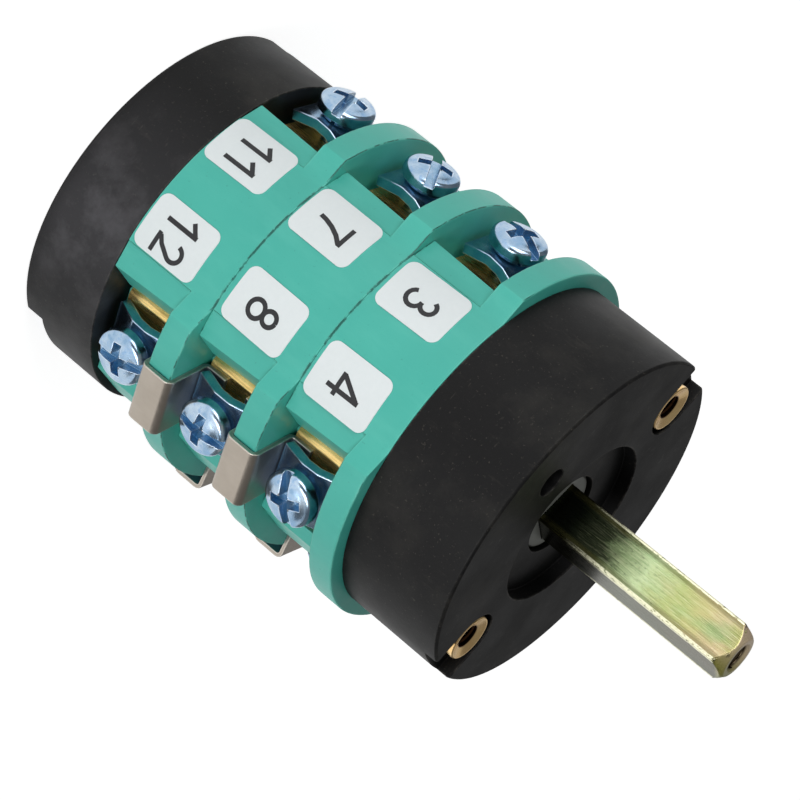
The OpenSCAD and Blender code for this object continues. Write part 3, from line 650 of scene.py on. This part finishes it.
plated = Finish("yellow_zinc", {})
low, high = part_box("drive_shaft")
face_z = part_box("front_housing")[1].z
edge_r = 5.3 * mm
shaft_hole_depth = 11.8 * mm
shaft_thread_lead = 0.5 * mm
height = plated.part(plated.place(), "Z")
from_axis = plated.place((1, 1, 0))
radius = plated.add("ShaderNodeVectorMath", {"operation": "LENGTH"}, {0: from_axis}, output="Value")
drawn = plated.noise(0.13 * mm, 4, 0.65, (1, 1, 0.03))
patch = plated.noise(2.2 * mm, 5, 0.65, (1, 1, 0.5))
tint = plated.noise(4.5 * mm, 3, 0.5, (1, 1, 0.4))
tone = plated.band(height, face_z, high.z) + (patch - 0.5) * 0.3
# The plate runs from near black at the root to light at the end; the dark root is partly the plate's own
# colour and partly a painted reflection of the black housing face.
shade = plated.add("ShaderNodeValToRGB", {"stops": [
    (0.0, srgb(20, 24, 18)),
    (0.22, srgb(40, 46, 32)),
    (0.34, srgb(122, 138, 100)),
    (0.46, srgb(174, 190, 146)),
    (0.62, srgb(158, 168, 110)),
    (0.76, srgb(168, 164, 112)),
    (0.9, srgb(170, 156, 120)),
    (1.0, srgb(150, 148, 90)),
]}, {"Fac": tone})
bloom = plated.band(tone, 0.3, 0.42) * plated.band(tint, 0.5, 0.66)
shade = plated.mix(bloom * 0.5, shade, srgb(96, 150, 92))
blush = plated.band(tone, 0.4, 0.7) * plated.band(tint, 0.46, 0.34)
shade = plated.mix(blush * 0.45, shade, srgb(196, 166, 138))
bright_lines = plated.band(drawn, 0.52, 0.7) * 0.5 * plated.band(tone, 0.1, 0.45)
shade = plated.mix(bright_lines, shade, srgb(214, 214, 176))
shade = plated.mix(plated.band(drawn, 0.46, 0.3) * 0.45, shade, srgb(58, 68, 34))
# Painted shade: the two faces across X are painted darker along the shaft, short of its end.
side = plated.band(plated.facing("X"), 0.6, 0.9)
painted_side_shade = side * plated.band(height, high.z - 0.5 * mm, high.z - 1.5 * mm)
shade = plated.mix(painted_side_shade * 0.9, shade, srgb(76, 76, 64))
# Painted shade: a dark line runs beside each rounded corner, inside the painted highlight.
inner = plated.band(radius, edge_r - 0.55 * mm, edge_r - 0.3 * mm)
shade = plated.mix(inner * 0.5, shade, srgb(74, 72, 40))
chips = plated.noise(0.4 * mm, 4, 0.7, (1, 1, 0.5))
# Dark spots, thickest toward the root.
dark_spots_near_root = plated.band(chips, 0.56, 0.68) * plated.band(tone, 0.75, 0.2)
shade = plated.mix(dark_spots_near_root * 0.8, shade, srgb(14, 16, 12))
# Painted highlight: each corner of the shaft is painted near white, broken up by the chips noise.
corner = plated.band(radius + plated.facing("X") * 0.3 * mm, edge_r, edge_r + 0.1 * mm)
painted_edge_highlight = corner * plated.band(tone, 0.05, 0.3) * plated.band(chips, 0.36, 0.46)
shade = plated.mix(painted_edge_highlight * 0.9, shade, srgb(238, 236, 204))
# Painted light and shade: the end bevel is painted light on one side, turning to dark olive across X.
bevelled = plated.band(plated.facing("Z"), 0.2, 0.4) * plated.band(height, high.z - 3 * mm, high.z - 2.5 * mm)
to_side = plated.band(plated.part(plated.place(), "X"), -2 * mm, 3.5 * mm)
painted_light_to_shade_bevel = plated.mix(to_side, srgb(206, 184, 156), srgb(128, 126, 48))
shade = plated.mix(bevelled * 0.85, shade, painted_light_to_shade_bevel)
# Painted shade: the threaded hole's wall, inside 2.35 mm of the axis, is painted dark brown.
shade = plated.mix(plated.band(radius, 2.35 * mm, 2.15 * mm), shade, srgb(70, 58, 38))
plated.paint(
    base_color=shade,
    metallic=1 - bevelled * 0.6,
    roughness=plated.band(drawn, 0.3, 0.7, 0.22, 0.36),
    normal=plated.bump(drawn, 0.01 * mm, 0.7),
)
softened("drive_shaft", plated, 0.22 * mm, 3)
thread_ends = (high.z - shaft_hole_depth, high.z - shaft_thread_lead)
thread("shaft_thread", plated, "shaft", "yellow_zinc", 0, *thread_ends)

# The numbers are dark print on thin white stickers, one beside each terminal on the label side.
# They were stuck on by hand, so most of them sit a little askew.

paper = Finish("white_sticker", {"Specular IOR Level": 0.4})
fibre = paper.noise(0.8 * mm, 3)
paper.paint(
    base_color=paper.mix(fibre, srgb(218, 225, 226), srgb(224, 230, 231)),
    roughness=paper.band(fibre, 0.3, 0.7, 0.36, 0.46),
    normal=paper.bump(paper.noise(4 * mm), 0.02 * mm),
)
ink = Finish("dark_print", {"Specular IOR Level": 0.4})
wear = ink.noise(0.35 * mm, 3)
ink.paint(
    base_color=ink.mix(wear, srgb(24, 24, 27), srgb(36, 36, 40)),
    roughness=ink.band(wear, 0.3, 0.7, 0.4, 0.5),
)

sticker_w = 9.7 * mm
sticker_h = 12.7 * mm
sticker_corner = 1.6 * mm
corner_steps = 6
across_steps = 8
sticker_t = 0.12 * mm
digit_h = 6.3 * mm
stroke_w = 0.79 * mm
stroke_step = 0.5 * mm
print_lift = 0.02 * mm


def on_label(around, up, lift):
    """Point on the label side, around the housing and up along the shaft, lift above it."""
    turn = around / housing_r
    return Vector(((housing_r + lift) * sin(turn), -(housing_r + lift) * cos(turn), up))


def arc(x, y, width, height, start, end, steps=14):
    """Points of an ellipse from the angle start to end, in degrees."""
    turns = [radians(start + (end - start) * i / steps) for i in range(steps + 1)]
    return [(x + width * cos(turn), y + height * sin(turn)) for turn in turns]


def divided(points, step):
    """The same line with points no further apart than step."""
    line = [points[0]]
    for a, b in zip(points, points[1:]):
        parts = max(1, int(hypot(b[0] - a[0], b[1] - a[1]) / step + 0.99))
        for i in range(1, parts + 1):
            line.append((a[0] + (b[0] - a[0]) * i / parts, a[1] + (b[1] - a[1]) * i / parts))
    return line


def ribbon(solid, line, width, place):
    """A flat stroke of one width along a line, laid where place puts its points."""
    sides = []
    for i, point in enumerate(line):
        before = Vector(point) - Vector(line[max(i - 1, 0)])
        after = Vector(line[min(i + 1, len(line) - 1)]) - Vector(point)
        along = (before.normalized() + after.normalized()).normalized()
        across = Vector((-along.y, along.x)) * width / 2
        sides.append([solid.verts.new(place(Vector(point) + across * side)) for side in (1, -1)])
    for a, b in zip(sides, sides[1:]):
        solid.faces.new((a[0], a[1], b[1], b[0]))


# Strokes of each figure in shares of its height, from its lower left corner.
figures = {
    "1": [[(0.29, 0), (0.29, 1)], [(0.0, 0.69), (0.26, 0.92)]],
    "2": [arc(0.3, 0.7, 0.22, 0.23, 172, -30) + [(0.28, 0.26), (0.1, 0.11)], [(0.04, 0.068), (0.6, 0.068)]],
    "3": [arc(0.29, 0.72, 0.2, 0.212, 160, -88), arc(0.3, 0.295, 0.235, 0.228, 92, -160)],
    "4": [[(0.47, 0), (0.47, 1)], [(0.0, 0.29), (0.64, 0.29)], [(0.05, 0.31), (0.45, 0.93)]],
    "7": [[(0, 0.932), (0.62, 0.932)], [(0.56, 0.9), (0.41, 0.69), (0.3, 0.44), (0.24, 0.2), (0.22, 0)]],
    "8": [arc(0.31, 0.735, 0.2, 0.197, 90, -270, 24), arc(0.31, 0.295, 0.245, 0.228, 90, -270, 24)],
}
# Each label's middle, in degrees round the housing and mm up the shaft, its tilt in degrees,
# and where each figure starts, in mm from the label's middle.
labels = {
    "3": (-15.0, 60.0, 1.4, [-1.45]),
    "4": (17.5, 59.9, 1.1, [-1.6]),
    "7": (-16.0, 40.9, -0.6, [-1.5]),
    "8": (15.9, 41.6, -1.1, [-1.5]),
    "11": (-17.2, 22.0, 0.8, [-3.0, 0.85]),
    "12": (15.4, 22.2, 0.0, [-3.5, 0.4]),
}
for text, (turn, up, tilt, starts) in labels.items():
    middle = (radians(turn) * housing_r, up * mm)
    lean = radians(tilt)

    def stuck(point, lift):
        """Point of the sticker's own plane, laid on the label side, lift above it."""
        x = point[0] * cos(lean) - point[1] * sin(lean)
        y = point[0] * sin(lean) + point[1] * cos(lean)
        return on_label(middle[0] + x, middle[1] + y, lift)

    solid = bmesh.new()
    inner_w = sticker_w / 2 - sticker_corner
    inner_h = sticker_h / 2 - sticker_corner
    bend = [radians(90 * i / corner_steps) for i in range(corner_steps + 1)]
    right = [(inner_w + sticker_corner * sin(a), inner_h + sticker_corner * cos(a)) for a in bend]
    left = [(-x, y) for x, y in reversed(right)]
    between = [(inner_w * (2 * i / across_steps - 1), sticker_h / 2) for i in range(1, across_steps)]
    columns = []
    for x, half in left + between + right:
        edge = ((-half, -sticker_t / 4), (-half, sticker_t), (half, sticker_t), (half, -sticker_t / 4))
        columns.append([solid.verts.new(stuck((x, y), lift)) for y, lift in edge])
    for a, b in zip(columns, columns[1:]):
        for i in range(3):
            solid.faces.new((a[i], b[i], b[i + 1], a[i + 1]))
    sheet = bpy.data.meshes.new("sticker_" + text)
    solid.to_mesh(sheet)
    solid.free()
    new_piece("sticker_" + text, sheet, paper, "housing")

    solid = bmesh.new()
    for start, figure in zip(starts, text):
        for line in figures[figure]:
            points = [(start * mm + x * digit_h, (y - 0.5) * digit_h) for x, y in line]
            ribbon(solid, divided(points, stroke_step), stroke_w, lambda p: stuck(p, sticker_t + print_lift))
    strokes = bpy.data.meshes.new("number_" + text)
    solid.to_mesh(strokes)
    solid.free()
    new_piece("number_" + text, strokes, ink, "housing")

# The studio: a flat white floor, large soft lamps and the camera of the photograph.
# The switch stands on its rear cap here, so the camera is turned to see it lying as it was pictured.

camera_place = Vector((64.25, -477.41, 242.87)) * mm
camera_aim = Vector((1.97, 0.26, 56.05)) * mm
camera_roll = radians(129.117)
lens_mm = 145.5
sensor_mm = 36.0
camera_data = bpy.data.cameras.new("camera")
camera_data.lens = lens_mm
camera_data.sensor_width = sensor_mm
camera_data.clip_start = 0.01
camera = bpy.data.objects.new("camera", camera_data)
bpy.context.scene.collection.objects.link(camera)
camera.location = camera_place
camera.rotation_mode = "QUATERNION"
level = (camera_aim - camera_place).to_track_quat("-Z", "Y")
camera.rotation_quaternion = level @ Quaternion((0, 0, 1), camera_roll)
bpy.context.scene.camera = camera
bpy.context.scene.view_settings.view_transform = "Standard"

floor_half = 3.0
floor_colour = (0.8, 0.8, 0.8, 1)
floor_glow = 0.75
white_light = (1, 1, 1, 1)
no_light = (0, 0, 0, 1)
floor_mesh = bpy.data.meshes.new("floor")
corners = [(x * floor_half, y * floor_half, 0) for x, y in ((-1, -1), (1, -1), (1, 1), (-1, 1))]
floor_mesh.from_pydata(corners, [], [(0, 1, 2, 3)])
floor = bpy.data.objects.new("floor", floor_mesh)
bpy.context.scene.collection.objects.link(floor)
floor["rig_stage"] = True
floor_white = Finish("white_floor", {
    "Base Color": floor_colour,
    "Roughness": 1.0,
    "Specular IOR Level": 0.0,
    "Emission Strength": floor_glow,
})
by_camera, by_gloss, by_glass = (
    floor_white.add("ShaderNodeLightPath", output=kind)
    for kind in ("Is Camera Ray", "Is Glossy Ray", "Is Transmission Ray")
)
seen = floor_white.maths("MAXIMUM", floor_white.maths("MAXIMUM", by_camera, by_gloss), by_glass)
floor_white.paint(emission_color=floor_white.mix(seen, no_light, white_light))
floor_mesh.materials.append(floor_white.material)

# The camera sees a white room beyond the floor, and everything else is lit by a dim one.
room_light = 0.2
room_white = 1.0
world = bpy.data.worlds.new("studio")
bpy.context.scene.world = world
world.use_nodes = True
background = world.node_tree.nodes["Background"]
background.inputs["Color"].default_value = white_light
room = Nodes(world.node_tree)
by_camera = room.add("ShaderNodeLightPath", output="Is Camera Ray")
room.feed(background.inputs["Strength"], room.band(by_camera, 0, 1, room_light, room_white))


def softbox(name, place, aim, size, watts):
    """A square area lamp at place, turned to aim."""
    data = bpy.data.lights.new(name, "AREA")
    data.size = size
    data.energy = watts
    lamp = bpy.data.objects.new(name, data)
    bpy.context.scene.collection.objects.link(lamp)
    lamp.location = place
    lamp.rotation_mode = "QUATERNION"
    lamp.rotation_quaternion = (Vector(aim) - Vector(place)).to_track_quat("-Z", "Y")


lamp_aim = (0, 0, 0.06)
softbox("key", (-0.55, -0.8, 0.3), lamp_aim, 0.7, 5.6)
softbox("fill", (0.74, -0.66, 0.31), lamp_aim, 0.5, 5.4)
softbox("back", (-0.12, 0.9, 0.42), lamp_aim, 0.5, 0.2)

low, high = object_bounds()
